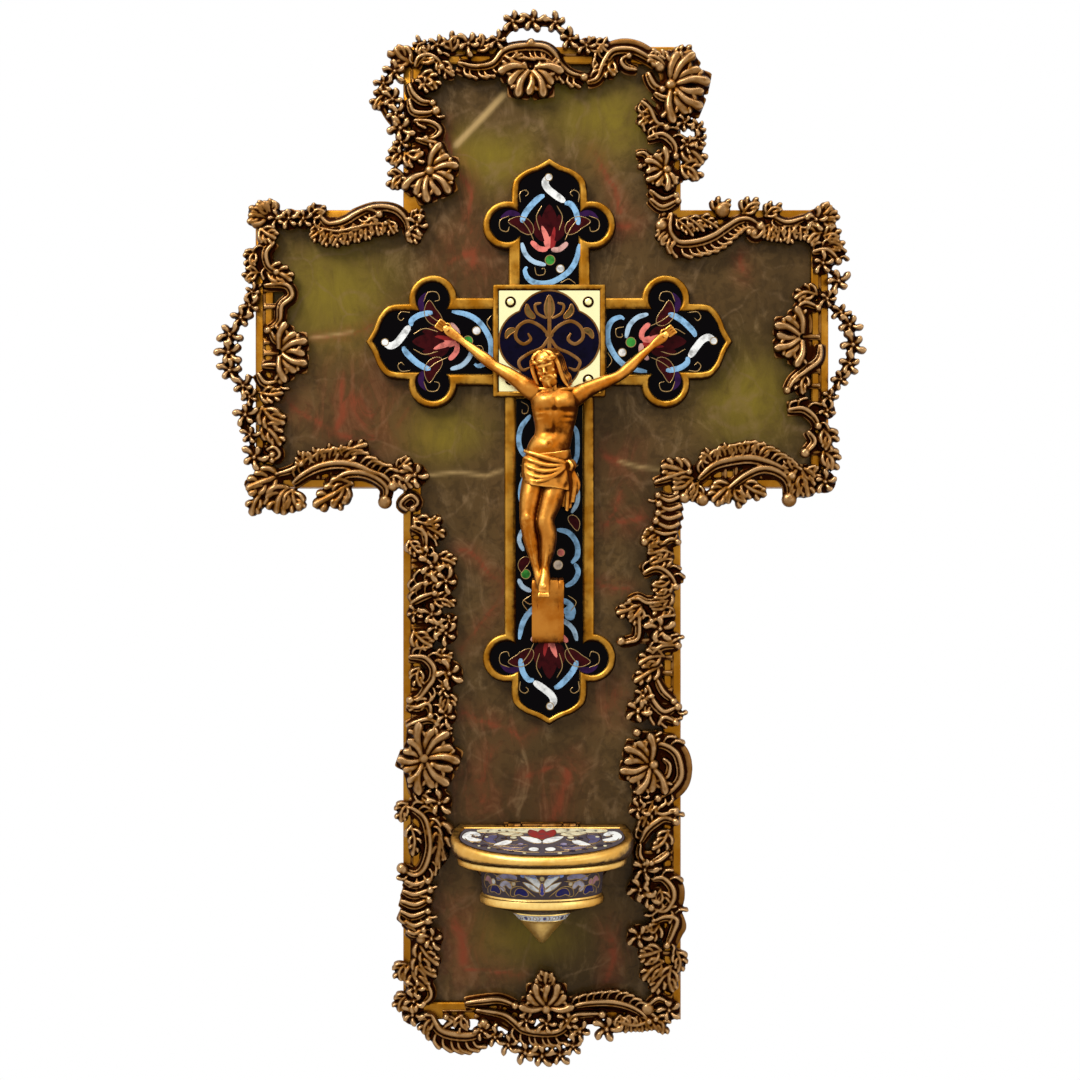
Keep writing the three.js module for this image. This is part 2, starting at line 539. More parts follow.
// The fourteen castings: the stretch of its side that each one's foot strip covers, and its ornaments.
const CASTINGS = {
  casting_top: {
    onto: SIDES.top, from: 6, to: 93,
    ornaments: [
      stem([[8, -5], [11, 0], [23.6, 0.5], [33, 2], [39, 9.5], [46.8, 11], [54.8, 9.5], [60, 2.5],
        [68, -4]]),
      rail([[19, -10], [26, -8], [32.4, -8.5], [37, -3], [46, -1], [54, -4], [57, -10], [65, -14.5]]),
      rail([[66, -18], [71, -13], [75.6, -3.5], [82, -2.5], [91.6, -9]]),
      rail([[6, -9], [9.2, -4.5], [14, -10]]), shell(46, -12, 14, -90), stem([[46, -3], [46, -12]]),
      floret(11, 0, 3.6), floret(23.6, 0.5, 4.5), floret(33, 1.6, 3.6), floret(39.6, 10.3, 4.2),
      floret(46.8, 11, 4.5), floret(54.8, 10, 4.2), floret(60, 2.5, 4), floret(66, -0.5, 3.5),
    ],
  },
  casting_top_left: {
    onto: SIDES.top_left, from: 14, to: 90,
    ornaments: [
      stem([[16, -4], [23.8, 7], [34, 8], [45, 3], [56, -4]]),
      rail([[27, -3.5], [33, -6], [35.4, -12.5]]), rail([[38, -3], [41, -7], [42, -11], [40, -15.5]]),
      rail([[48, -4], [49, -13], [53, -17], [57, -14], [62, -15]]), shell(77, -12.5, 13, -45, 240),
      floret(23.8, 7.5, 3.6), floret(51, 0.5, 5), leaf(32, 6.5, 7, 40), leaf(70, -3.5, 7, 80),
      leaf(84, -3.5, 7, 80),
    ],
  },
  casting_top_right: {
    onto: SIDES.top_right, from: 14, to: 92,
    ornaments: [
      shell(24.5, -5.5, 18, 90, 150), rail([[17, -16], [26, -12.5], [32, -8], [29, -2.5]]),
      rail([[36, -18], [41, -14.5], [46, -5]]), stem([[44, -4], [47.6, 2], [51, 7], [57, 7], [63, -3]]),
      rail([[57.1, -15], [55.8, -8.5], [61.2, -3.5], [68, -3]]),
      rail([[89, -13.5], [94, -8], [91, -3]]), floret(47.6, 1.5, 3.2), floret(51, 7, 3.2),
      floret(57.5, 7, 3.2), floret(75, -7, 6.5), leaf(66, -2, 12, 60), leaf(78, -3, 10, 75),
    ],
  },
  casting_arm_left_top: {
    onto: SIDES.arm_left_top, from: 8, to: 94,
    ornaments: [
      leaf(8, -4.5, 9, 165), leaf(7, -4.5, 8.5, 110), floret(15, -4.5, 3.6), floret(23.3, -4.5, 4),
      floret(33, -4.5, 3.6), rail([[43, -2.5], [50, -7], [61, -5.5], [70, -2.5], [84, -2.5]]),
      rail([[66, -3], [80, 0.5], [94.7, -0.5], [102, -6], [103, -11]]),
      rail([[42, -11.5], [51, -14.5], [62, -13], [73, -13], [82, -9.5], [94, -8.5]], 5),
      stem([[51, -5], [51, -14]]), stem([[82, -3], [82, -9]]),
    ],
  },
  casting_arm_left_end: {
    onto: SIDES.arm_left_end, from: 10, to: 92,
    ornaments: [
      stem([[27, -4], [30, 1], [36, 3], [44, 10], [51.6, 11.5], [59, 10], [65, 3], [74, 4], [84, 1],
        [90, -4]]),
      rail([[12.4, -8.5], [15.6, -5], [20.4, -6], [23, -10]]),
      rail([[26, -4], [28.4, -14], [32, -16], [35, -12], [40.4, -11], [44, -5]]),
      rail([[56, -3], [57, -9], [61, -12], [64, -5]]), shell(51.6, -12, 13, -90), floret(30.5, 1, 3.2),
      floret(35, 2.5, 4), floret(39.5, 6, 4), floret(45.2, 10.6, 4.5), floret(51.6, 11.5, 5),
      floret(58, 10.6, 4.5), floret(63.6, 5, 4), floret(74, 4, 4.5), floret(81.2, 2, 3.6),
      floret(89.2, -0.5, 5), leaf(74, -4, 9, -75), leaf(10, -3.5, 8, -60), floret(88, -8, 3.2),
    ],
  },
  casting_arm_left_bottom: {
    onto: SIDES.arm_left_bottom, from: 12, to: 93,
    ornaments: [
      rail([[25.6, -1.5], [34, -6], [44, -9], [55.6, -10.5], [68, -9.5], [79, -6.5], [91, -3]]),
      rail([[47, 1.5], [55.6, -3.5], [64, -6], [74, -6], [83, -3.5], [88, 1], [88, 6]]),
      rail([[33, -11], [41, -13.5], [49, -14.5], [59, -16]], 4.5), stem([[41, -5], [41, -13]]),
      leaf(20, -3, 16, 145), leaf(20, -2, 14, 75), leaf(60, -3, 18, 152), floret(88, 6, 3.4),
      leaf(59, -15, 13, -20), floret(100, -7, 4.6), stem([[90, -4], [100, -7]]),
    ],
  },
  casting_arm_right_top: {
    onto: SIDES.arm_right_top, from: 8, to: 92,
    ornaments: [
      rail([[-6, -3], [-7, -11.5], [-1, -15.5], [11, -15], [22, -12.5], [31, -8.5], [40, -5.3],
        [48, -5.3], [54, -9]]),
      rail([[2, -12], [10, -9], [20, -6]], 6), floret(27.8, -0.5, 4.5), leaf(48, -4.5, 7, 90),
      rail([[52, -6], [53, -10], [49, -12]]),
      rail([[58, -10.5], [66, -11.5], [73, -13.5], [81, -11.5]], 5),
      rail([[60, -4.5], [71.4, -6.5], [83.5, -4.5]]), stem([[70, -5], [70, -12]]), floret(92, -5, 4.5),
      leaf(92, -5, 8, 50), leaf(92, -5, 7, 0),
    ],
  },
  casting_arm_right_end: {
    onto: SIDES.arm_right_end, from: 11, to: 94,
    ornaments: [
      leaf(14, -4, 8, 215), leaf(14, -3, 9, 75), rail([[16.4, -8], [15, -1], [18.8, 4]]),
      floret(19.6, -3.5, 4),
      stem([[20, -3], [26, 4], [33, -1], [37.2, 5], [42, 9], [48.8, 10.5], [55.6, 9], [61.2, 5],
        [68, -4]]),
      floret(26, 4, 4.5), floret(32, -0.5, 3.4), floret(37.2, 5, 3.6), floret(42, 9, 4.4),
      floret(48.8, 10.5, 5), floret(55.6, 9, 4.4), floret(61.2, 5, 3.8), floret(67.6, 0, 3.4),
      floret(72.4, -1, 3.2), shell(45.2, -12.5, 12.5, -90), rail([[36.4, -15], [34, -10.5], [36, -5]]),
      rail([[48, -4], [54, -6], [58, -11], [61.2, -16], [65, -19]]),
      rail([[73, -18], [72, -12], [75, -7], [78, -4]]), rail([[80, -5], [83.6, -8], [87.6, -11]]),
      floret(96, -2.5, 4),
    ],
  },
  casting_arm_right_bottom: {
    onto: SIDES.arm_right_bottom, from: 5, to: 88,
    ornaments: [
      rail([[14, -5], [22, -9.5], [34, -12], [46, -12.8], [57, -11.5], [67, -8.5], [75, -5]]),
      rail([[31, 1.5], [37, -2], [45, -5.5], [54, -8], [63, -7.5], [70, -4.5], [73, 0], [73, 5]]),
      rail([[20, -14.5], [29, -16.3], [40, -16.5], [52, -14.5]], 4.5), stem([[34, -5], [34, -16]]),
      leaf(40, -3, 12, 140), floret(73, 5.5, 3.6), leaf(10, -4, 15, 195), leaf(8, -3, 11, 60),
      floret(3, 3.5, 3), stem([[8, -4], [3, 3.5]]), leaf(84, -8, 12, 85), leaf(84, -4, 8, -90),
    ],
  },
  casting_shaft_left_upper: {
    onto: SIDES.shaft_left, from: 4, to: 43,
    ornaments: [
      rail([[5, -5], [3, -7], [2.2, -4.5], [4.5, -1.5], [6.3, -5]]),
      rail([[6, -4.5], [7.2, -10.5], [6.2, -16]]), leaf(8, -12, 9, -40),
      stem([[7.2, -10], [8, -12]]),
      rail([[7.5, -4.5], [9, -10], [12, -11]]), floret(14.8, -12.5, 5.6), stem([[12, -4], [14.5, -12]]),
      leaf(14.3, -15, 9, -88), floret(17.5, -18.5, 4.4), stem([[15, -13], [17.5, -18]]),
      rail([[20, -4.5], [18.6, -8], [18, -11]]), rail([[22, -4.5], [20.5, -9], [19.7, -14]]),
      floret(23.8, -13, 4), stem([[23.5, -4], [23.8, -13]]), floret(26.4, -16, 4),
      floret(27.3, -19, 4.4), stem([[24, -13], [27, -18]]), leaf(28.5, -5, 6, -60),
      rail([[31.5, -4.5], [32.1, -10.5], [34, -13.5], [36, -13], [38, -10], [40, -4.5]]),
      floret(34.9, -20, 5.4), stem([[33.5, -12], [34.9, -20]]),
      stem([[35, -20], [38, -19], [42, -18.5], [43.5, -11]]), floret(38.3, -18.5, 3.4),
      floret(42, -18.5, 4), rail([[44, -3.5], [43.3, -9], [43.5, -15]]),
    ],
  },
  casting_shaft_left_lower: {
    onto: SIDES.shaft_left, from: 48, to: 98,
    ornaments: [
      shell(51, -10, 15.5, -90, 240), leaf(47.5, -15, 7, -110), shell(51, -8, 10.5, 90, 190),
      rail([[60, -2], [60.7, -6], [62, -9.5], [64.5, -11.5], [68, -12], [71.2, -9.5], [72.4, -5]]),
      floret(59.5, -15.5, 4.6), stem([[59, -4], [59.5, -15.5]]), leaf(64, -14.5, 16, 2),
      stem([[65, -4], [65, -15]]), floret(71.4, -2, 3), rail([[73.6, -4], [74.2, -8], [73.6, -12]], 3),
      rail([[75.3, -3], [76, -8], [75.3, -13]], 3), rail([[77, -2], [77.8, -7], [77.2, -12.5]], 3),
      rail([[79, -2], [80, -6], [79.3, -11.5]], 3), rail([[81, -3], [82, -6.5], [81.5, -10.5]], 3),
      floret(84.3, -12.5, 4.4), stem([[83, -4], [84.3, -12]]), leaf(86, -6, 12, -35),
      leaf(89, -5, 10, -60), leaf(90.4, -4, 6, 95), floret(94, -5, 4), floret(97.6, -4.5, 4.6),
    ],
  },
  casting_shaft_right_upper: {
    onto: SIDES.shaft_right, from: 2.5, to: 43,
    ornaments: [
      rail([[2.5, -4], [3.2, -8], [2.6, -9.5]], 3), rail([[4.4, -2], [5.2, -6], [4.7, -9.5]], 3),
      rail([[6.4, -2], [7.2, -6], [6.8, -9.5]], 3), rail([[8.4, -3], [9.2, -7], [8.4, -13]], 3),
      leaf(10.3, -9, 9, -80), rail([[10, -2.5], [10.6, -7], [12.5, -14]]),
      rail([[13.6, -4], [13, -9], [12, -14]]),
      rail([[16.3, -16.5], [15.2, -12.5], [15.4, -8.5], [17, -4.5], [18.5, -3]]), leaf(18, -5, 9, -35),
      leaf(21, -5, 9, -35), floret(25.7, -9.5, 6.4), stem([[22, -4], [25, -8]]),
      stem([[21.5, -6], [21, -13], [20.6, -19]]), rail([[21.5, -14], [20.4, -19], [21.4, -22.5]]),
      leaf(21.5, -19, 10, -55), rail([[22.2, -19], [26, -18.5], [28.8, -23], [29, -27.5]]),
      rail([[31, -13.5], [30, -8.5], [29.6, -3]]), floret(33.3, -17, 5), stem([[31, -5], [33.3, -16]]),
      leaf(36, -16, 8, -70), rail([[35.3, -15], [38, -14.5], [41, -10.5], [42.4, -6], [41, -2.5]]),
      floret(42, -18.5, 4.6), stem([[38.5, -14], [42, -18]]),
    ],
  },
  casting_shaft_right_lower: {
    onto: SIDES.shaft_right, from: 47, to: 98,
    ornaments: [
      shell(52, -14, 14, -90, 230),
      rail([[50.3, -16.5], [48.8, -13], [48.4, -8.5], [49.4, -4], [52, -2.5]]),
      rail([[52, -2], [55, -2.5], [57, -6.5], [58.5, -11]]), stem([[52, -4], [52, -14]]),
      floret(60.2, -19.6, 4), stem([[59, -4], [60.2, -19]]), floret(57.6, -19.5, 3),
      stem([[60.2, -19.6], [57.6, -19.5]]),
      rail([[66.6, -18.5], [64.3, -15.5], [62.8, -11.5], [62, -7.5], [62.4, -3.5]]),
      stem([[66.5, -17], [69, -19], [71.6, -16.5]]), floret(71.6, -16, 5),
      stem([[69, -4], [71.6, -16]]), floret(75.6, -17.5, 5.4),
      rail([[73.5, -13.5], [73.2, -8.5], [75, -4.5], [77, -4], [79.2, -8], [79.4, -14]]),
      stem([[74, -12], [75.6, -17]]), rail([[81.6, -13], [80.8, -4], [83.3, -4.5], [86, -7]]),
      floret(84.1, -18, 5), stem([[82, -11], [84.1, -18]]), leaf(87, -12, 8, -80),
      stem([[85.5, -6], [88, -13]]), leaf(88, -12, 13, -15), leaf(88.5, -11, 13, 12),
      leaf(90, -5, 9, -20), floret(97.3, -14, 3.4), floret(97.3, -5.5, 4.4),
      stem([[97.3, -14], [97.3, -5]]),
    ],
  },
  casting_bottom: {
    onto: SIDES.bottom, from: 14, to: 86,
    ornaments: [
      shell(51.6, -8, 12.5, -90, 220), leaf(51.6, -15, 8, -90),
      rail([[27, -5], [34, -3.5], [39.6, 0], [44, 4], [51, 5], [58, 3], [61.2, -2], [67, -4]]),
      rail([[22, -7], [28.4, -9], [36, -9], [42, -6]]),
      rail([[58, -6], [66, -8], [74, -8.5], [80.4, -7], [86, -3.5]]),
      rail([[10, -2], [14, 4], [20, 6], [26, 5.5], [29, -4]], 4.5),
      stem([[26, 4], [33.2, 7], [38, 10.5], [44, 14], [50, 15.5], [56, 14.5], [60, 10], [64, 3],
        [70, -4]]),
      floret(33.2, 7, 3.6), floret(38, 10.5, 3.8), floret(44, 14, 4.4), floret(50, 15.5, 5),
      floret(56, 15, 4.2), floret(60.5, 11, 4), floret(64, 4.5, 4.2), floret(73, 3, 5.4),
      stem([[73, -5], [73, 3]]), rail([[76, 0.5], [82, 1], [90, 1.5]], 6.5), stem([[82, -5], [82, 1]]),
    ],
  },
};

const PEG_SHARES = [0.12, 0.88];
const pegShare = ({ from, to }, share) => from + (to - from) * share;

function pegs(casting, radius, back, length) {
  return PEG_SHARES.map((share) => {
    const at = onSide(casting.onto, pegShare(casting, share), DRAWN.stripOut);
    return rod(at.x, at.y, radius, back, length, PEG_SIDES);
  });
}

function castingSolid(casting) {
  const { onto, from, to, ornaments } = casting;
  const strip = { points: [[from, DRAWN.stripOut], [to, DRAWN.stripOut]], width: STRIP_WIDTH };
  const solids = [plate(railOutline(onto, strip), CASTING_SEAT, STRIP_RELIEF)];
  ornaments.forEach((ornament, i) => {
    const lift = ORNAMENT_STAGGER * (i + 1);
    const outline = OUTLINES[ornament.kind](onto, ornament);
    solids.push(plate(outline, CASTING_SEAT - lift, ornament.relief));
  });
  const back = CASTING_SEAT + PEG_LENGTH;
  return joinAll([...solids, ...pegs(casting, PEG_RADIUS, back, PEG_LENGTH + STRIP_RELIEF / 2)]);
}

function addFrame() {
  const depth = -FRAME_SETBACK - LIP_FRONT;
  const whole = plate(crossOutline(0), -FRAME_SETBACK, depth);
  const inside = plate(crossOutline(FRAME_WALL), CUT_MARGIN, CUT_MARGIN - LIP_BACK);
  const window = plate(crossOutline(LIP_WIDTH), CUT_MARGIN, depth + 2 * CUT_MARGIN + FRAME_SETBACK);
  const pegHoles = Object.values(CASTINGS).flatMap((casting) =>
    pegs(casting, PEG_RADIUS + FIT_GAP, LIP_BACK + CUT_MARGIN, LIP_THICKNESS + 2 * CUT_MARGIN));
  const tools = [inside, window, ...pegHoles, ...frameScrewHoles()];
  addPiece(stoup, 'edge_frame', cutAll(whole, tools), giltBrass());
  for (const { name, at, into } of FRAME_SCREWS) {
    addPiece(stoup, name, turnedAlong(screwProfile(FRAME_SCREW_LENGTH), at, into, SMALL_SIDES), giltBrass());
  }
}

function addCastings() {
  for (const [name, casting] of Object.entries(CASTINGS)) {
    addPiece(stoup, name, castingSolid(casting), giltBronze());
  }
}

// The crucifix, in a group of its own: its origin is at its crossing, on the face of the slab.
const crucifix = new THREE.Group();
crucifix.position.set(CRUCIFIX_X, SLAB_FRONT, CRUCIFIX_Z);
stoup.add(crucifix);

const WALL_BEHIND_SLAB = -SLAB_FRONT;
const STUD_END = WALL_BEHIND_SLAB - STUD_SETBACK;
const CRUCIFIX_FRONT = -SEAT_GAP - CRUCIFIX_THICKNESS;
const RECESS_FLOOR = CRUCIFIX_FRONT + ENAMEL_RECESS;
const ENAMEL_BACK = RECESS_FLOOR - SEAT_GAP;
const ENAMEL_FRONT = ENAMEL_BACK - ENAMEL_THICKNESS;
const PLAQUE_BACK = CRUCIFIX_FRONT - SEAT_GAP;
const PLAQUE_FRONT = PLAQUE_BACK - PLAQUE_THICKNESS;
const ENAMEL_START = PLAQUE_SIZE / 2 + FIT_GAP;
const ARMS = [
  { name: 'enamel_top', halfWidth: CRUCIFIX_TOP_WIDTH / 2, reach: CRUCIFIX_REACH, turn: 0 },
  { name: 'enamel_left', halfWidth: CRUCIFIX_SIDE_WIDTH / 2, reach: CRUCIFIX_REACH, turn: 90 },
  { name: 'enamel_bottom', halfWidth: CRUCIFIX_FOOT_WIDTH / 2, reach: CRUCIFIX_FOOT_REACH, turn: 180 },
  { name: 'enamel_right', halfWidth: CRUCIFIX_SIDE_WIDTH / 2, reach: CRUCIFIX_REACH, turn: 270 },
];

const turnedBy = (p, turn) => p.rotateAround(point(0, 0), radians(turn));
const arcTo = (across, radius) => Math.acos(THREE.MathUtils.clamp(across / radius, -1, 1));

// One arm from its foot round its lobes and its point, drawn upwards and then turned into place.
function armPoints({ halfWidth, reach, turn }, barInset, lobeInset) {
  const radius = LOBE_RADIUS - lobeInset;
  const lobeAt = reach - LOBE_BACK;
  const shoulder = SHOULDER_HALF_WIDTH - lobeInset;
  const tip = reach - lobeInset;
  const shoulderAt = reach - SHOULDER_BACK;
  const start = -arcTo(halfWidth - barInset - LOBE_SPREAD, radius);
  const end = arcTo(shoulder - LOBE_SPREAD, radius);
  const half = [];
  for (let i = 0; i <= LOBE_STEPS; i += 1) {
    const angle = start + ((end - start) * i) / LOBE_STEPS;
    half.push(point(LOBE_SPREAD + radius * Math.cos(angle), lobeAt + radius * Math.sin(angle)));
  }
  const ogee = [[1, 0], [0.93, 0.32], [0.66, 0.6], [0.3, 0.78]];
  half.push(...ogee.map(([across, up]) => point(across * shoulder, shoulderAt + up * (tip - shoulderAt))));
  const mirrored = half.map((p) => point(-p.x, p.y)).reverse();
  return [...half, point(0, tip), ...mirrored].map((p) => turnedBy(p, turn));
}

function crucifixOutline() {
  const sideHalf = CRUCIFIX_SIDE_WIDTH / 2;
  const corner = (arm, across) => turnedBy(point(across * arm.halfWidth, sideHalf), arm.turn);
  const [top, left, bottom, right] = ARMS;
  return [
    corner(top, 1), ...armPoints(top, 0, 0), corner(top, -1), ...armPoints(left, 0, 0),
    corner(bottom, 1), ...armPoints(bottom, 0, 0), corner(bottom, -1), ...armPoints(right, 0, 0),
  ];
}

function enamelOutline(arm, gap) {
  const half = arm.halfWidth - BAR_BORDER - gap;
  const base = (across) => turnedBy(point(across * half, ENAMEL_START + gap), arm.turn);
  return [base(1), ...armPoints(arm, BAR_BORDER + gap, LOBE_BORDER + gap), base(-1)];
}

// The four-lobed field of the plaque, as arcs that meet on the diagonals.
function quatrefoilOutline(gap) {
  const radius = PLAQUE_FIELD_RADIUS - gap;
  const meet = (PLAQUE_FIELD_SPREAD + Math.sqrt(2 * radius ** 2 - PLAQUE_FIELD_SPREAD ** 2)) / 2;
  const sweep = Math.atan2(meet, meet - PLAQUE_FIELD_SPREAD);
  const outline = [];
  for (let lobe = 0; lobe < 4; lobe += 1) {
    for (let i = 0; i < LOBE_STEPS; i += 1) {
      const angle = -sweep + (2 * sweep * i) / LOBE_STEPS;
      const p = point(PLAQUE_FIELD_SPREAD + radius * Math.cos(angle), radius * Math.sin(angle));
      outline.push(turnedBy(p, 90 * lobe));
    }
  }
  return outline;
}

const PLAQUE_PINS = [
  { name: 'plaque_pin_upper_left', x: -PLAQUE_PIN_SPREAD, z: PLAQUE_PIN_SPREAD },
  { name: 'plaque_pin_upper_right', x: PLAQUE_PIN_SPREAD, z: PLAQUE_PIN_SPREAD },
  { name: 'plaque_pin_lower_left', x: -PLAQUE_PIN_SPREAD, z: -PLAQUE_PIN_SPREAD },
  { name: 'plaque_pin_lower_right', x: PLAQUE_PIN_SPREAD, z: -PLAQUE_PIN_SPREAD },
];
const pinProfile = (radius, headRadius, headHeight, length) => [
  [headRadius * 0.5, 0],
  [headRadius, headHeight * 0.5],
  [headRadius, headHeight],
  [radius, headHeight],
  [radius, length],
];
const backwards = place(0, 1, 0);

// Places in the figure: across, forwards from the slab, and up from the crucifix's crossing.
const spot = (across, ahead, up) => place(across, -ahead, up);
const HAND_AHEAD = -ENAMEL_FRONT + FIT_GAP + HAND_HALF_DEPTH;
const TRUNK_AHEAD = -PLAQUE_FRONT + TRUNK_STANDOFF;
const FOOT_AHEAD = -ENAMEL_FRONT + SEAT_GAP + FOOTREST_DEPTH + FOOT_STANDOFF;
const FIGURE = {
  head: spot(-1.1, TRUNK_AHEAD + 3, -12.4),
  neck: spot(1.2, TRUNK_AHEAD + 0.5, -20),
  chest: spot(2.4, TRUNK_AHEAD, -29),
  waist: spot(2, TRUNK_AHEAD - 0.5, -41),
  hips: spot(-1.2, TRUNK_AHEAD, -52),
  cloth: spot(-1.4, TRUNK_AHEAD + 0.5, -63),
  kneeLeft: spot(-9.6, TRUNK_AHEAD + 5, -78.5),
  kneeRight: spot(-2.6, TRUNK_AHEAD + 5.5, -80),
  ankleLeft: spot(-5.8, FOOT_AHEAD - 2, -101),
  ankleRight: spot(-2.2, FOOT_AHEAD - 1.6, -101.5),
  toes: spot(-2.4, FOOT_AHEAD + 1.2, -112),
  feetNail: spot(-2.6, FOOT_AHEAD + 4.4, -109.4),
};
const FIGURE_ARMS = [
  {
    name: 'corpus_arm_left',
    nail: 'nail_hand_left',
    shoulder: spot(-9.6, TRUNK_AHEAD, -21),
    elbow: spot(-24.1, TRUNK_AHEAD - 3, -12),
    wrist: spot(-38.3, HAND_AHEAD + 1, -0.6),
    hand: spot(-46.3, HAND_AHEAD, 5.3),
  },
  {
    name: 'corpus_arm_right',
    nail: 'nail_hand_right',
    shoulder: spot(13.6, TRUNK_AHEAD, -24.4),
    elbow: spot(30.6, TRUNK_AHEAD - 3, -16.4),
    wrist: spot(45.2, HAND_AHEAD + 1, -3.2),
    hand: spot(52, HAND_AHEAD, 2.6),
  },
];

const towards = (a, b) => b.clone().sub(a).normalize();
const between = (a, b, share) => a.clone().lerp(b, share);
const moved = (a, direction, distance) => a.clone().addScaledVector(direction, distance);

// A limb: rings of [place, half across, half deep], each ring square to the limb's own direction.
function limb(stations, sides = ROUND_SIDES) {
  const last = stations.length - 1;
  const rings = stations.map(([at, across, deep], i) => {
    const along = towards(stations[Math.max(i - 1, 0)][0], stations[Math.min(i + 1, last)][0]);
    const front = moved(place(0, -1, 0), along, along.y).normalize();
    const sidewards = along.clone().cross(front);
    return circleOutline(0, 0, 1, sides).map((p) =>
      moved(moved(at, sidewards, across * p.x), front, deep * p.y));
  });
  return loft(rings);
}

function figureTrunk() {
  const f = FIGURE;
  const down = towards(f.hips, f.cloth);
  return limb([
    [between(f.neck, f.chest, 0.3), 4.6, 3.8],
    [between(f.neck, f.chest, 0.6), 9.6, 5.2],
    [f.chest, 10.6, 6.2],
    [f.waist, 8.6, 5],
    [f.hips, 10.8, 5.8],
    [f.cloth, 11.2, 6.2],
    [moved(f.cloth, down, 3), 9.6, 5.4],
  ], 10);
}

function figureHead() {
  const f = FIGURE;
  const up = towards(f.neck, f.head);
  const neck = limb([[between(f.neck, f.chest, 0.5), 3.4, 3.4], [between(f.neck, f.head, 0.6), 3.2, 3.2]]);
  const skull = limb([
    [moved(f.head, up, -9), 1.6, 1.8],
    [moved(f.head, up, -4.6), 5, 5],
    [f.head, 6.8, 6.6],
    [moved(f.head, up, 4), 7, 6.8],
    [moved(f.head, up, 7), 4.6, 4.6],
    [moved(f.head, up, 8.2), 1.4, 1.4],
  ]);
  return neck.add(skull);
}

function figureLeg(hipAcross, knee, ankle) {
  const wide = LEG_RADIUS;
  const hip = FIGURE.cloth.clone().add(place(hipAcross, -0.5, 0));
  return limb([
    [hip, wide, wide],
    [between(hip, knee, 0.5), wide * 0.95, wide],
    [knee, wide * 0.76, wide * 0.82],
    [between(knee, ankle, 0.35), wide * 0.74, wide * 0.8],
    [ankle, wide * 0.46, wide * 0.5],
    [FIGURE.toes, wide * 0.6, wide * 0.42],
  ]);
}

function figureClothEnd() {
  const { cloth } = FIGURE;
  return limb([
    [cloth.clone().add(place(8.4, -1, 4)), 3.2, 3.2],
    [cloth.clone().add(place(11.4, -1, -5)), 2.6, 2.8],
    [cloth.clone().add(place(12.2, -0.5, -16)), 1.5, 1.4],
  ], 6);
}

function shoulderStump({ shoulder, elbow }) {
  const inside = moved(shoulder, towards(shoulder, elbow), -SHOULDER_DEPTH);
  return limb([
    [inside, SHOULDER_RADIUS, SHOULDER_RADIUS],
    [shoulder, SHOULDER_RADIUS, SHOULDER_RADIUS],
  ]);
}

function shoulderPeg({ shoulder, elbow }, gap) {
  const out = towards(shoulder, elbow);
  const start = moved(shoulder, out, 2 * FIT_GAP + gap);
  const length = FIGURE_PEG_LENGTH + 2 * gap;
  const radius = FIGURE_PEG_RADIUS + gap;
  return turnedAlong([[radius, 0], [radius, length]], start, out.negate(), SMALL_SIDES);
}

function handBore({ hand }) {
  const back = RECESS_FLOOR + NAIL_HOLE_DEPTH;
  return rod(hand.x, hand.z, NAIL_RADIUS + FIT_GAP, back, NAIL_HOLE_LENGTH, SMALL_SIDES);
}

function feetBore() {
  const { feetNail } = FIGURE;
  const start = feetNail.y + FEET_NAIL_LENGTH + FIT_GAP;
  const length = FEET_NAIL_LENGTH + 2 * CUT_MARGIN;
  return rod(feetNail.x, feetNail.z, NAIL_RADIUS + FIT_GAP, start, length, SMALL_SIDES);
}

function addFigure() {
  const trunk = joinAll([
    figureTrunk(), figureHead(), figureClothEnd(),
    figureLeg(-5, FIGURE.kneeLeft, FIGURE.ankleLeft),
    figureLeg(5, FIGURE.kneeRight, FIGURE.ankleRight),
    ...FIGURE_ARMS.map(shoulderStump),
  ]);
  const sockets = FIGURE_ARMS.map((arm) => shoulderPeg(arm, FIT_GAP));
  addPiece(crucifix, 'corpus_body', cutAll(trunk, [...sockets, feetBore()]), giltBrass());
  for (const arm of FIGURE_ARMS) {
    const { shoulder, elbow, wrist, hand } = arm;
    const start = moved(shoulder, towards(shoulder, elbow), FIT_GAP);
    const whole = limb([
      [start, SHOULDER_RADIUS, SHOULDER_RADIUS],
      [between(shoulder, elbow, 0.5), 3.2, 3.2],
      [elbow, 2.6, 2.6],
      [between(elbow, wrist, 0.4), 2.6, 2.5],
      [wrist, 1.8, 1.7],
      [hand, 2.6, HAND_HALF_DEPTH],
      [moved(hand, towards(wrist, hand), 4), 1.5, 0.9],
    ]);
    addPiece(crucifix, arm.name, whole.add(shoulderPeg(arm, 0)).subtract(handBore(arm)), giltBrass());
    const nailAt = spot(hand.x, HAND_AHEAD + HAND_HALF_DEPTH + FIT_GAP + NAIL_HEAD_HEIGHT, hand.z);
    const profile = pinProfile(NAIL_RADIUS, NAIL_HEAD_RADIUS, NAIL_HEAD_HEIGHT, HAND_NAIL_LENGTH);
    addPiece(crucifix, arm.nail, turnedAlong(profile, nailAt, backwards, SMALL_SIDES), giltBrass());
  }
}

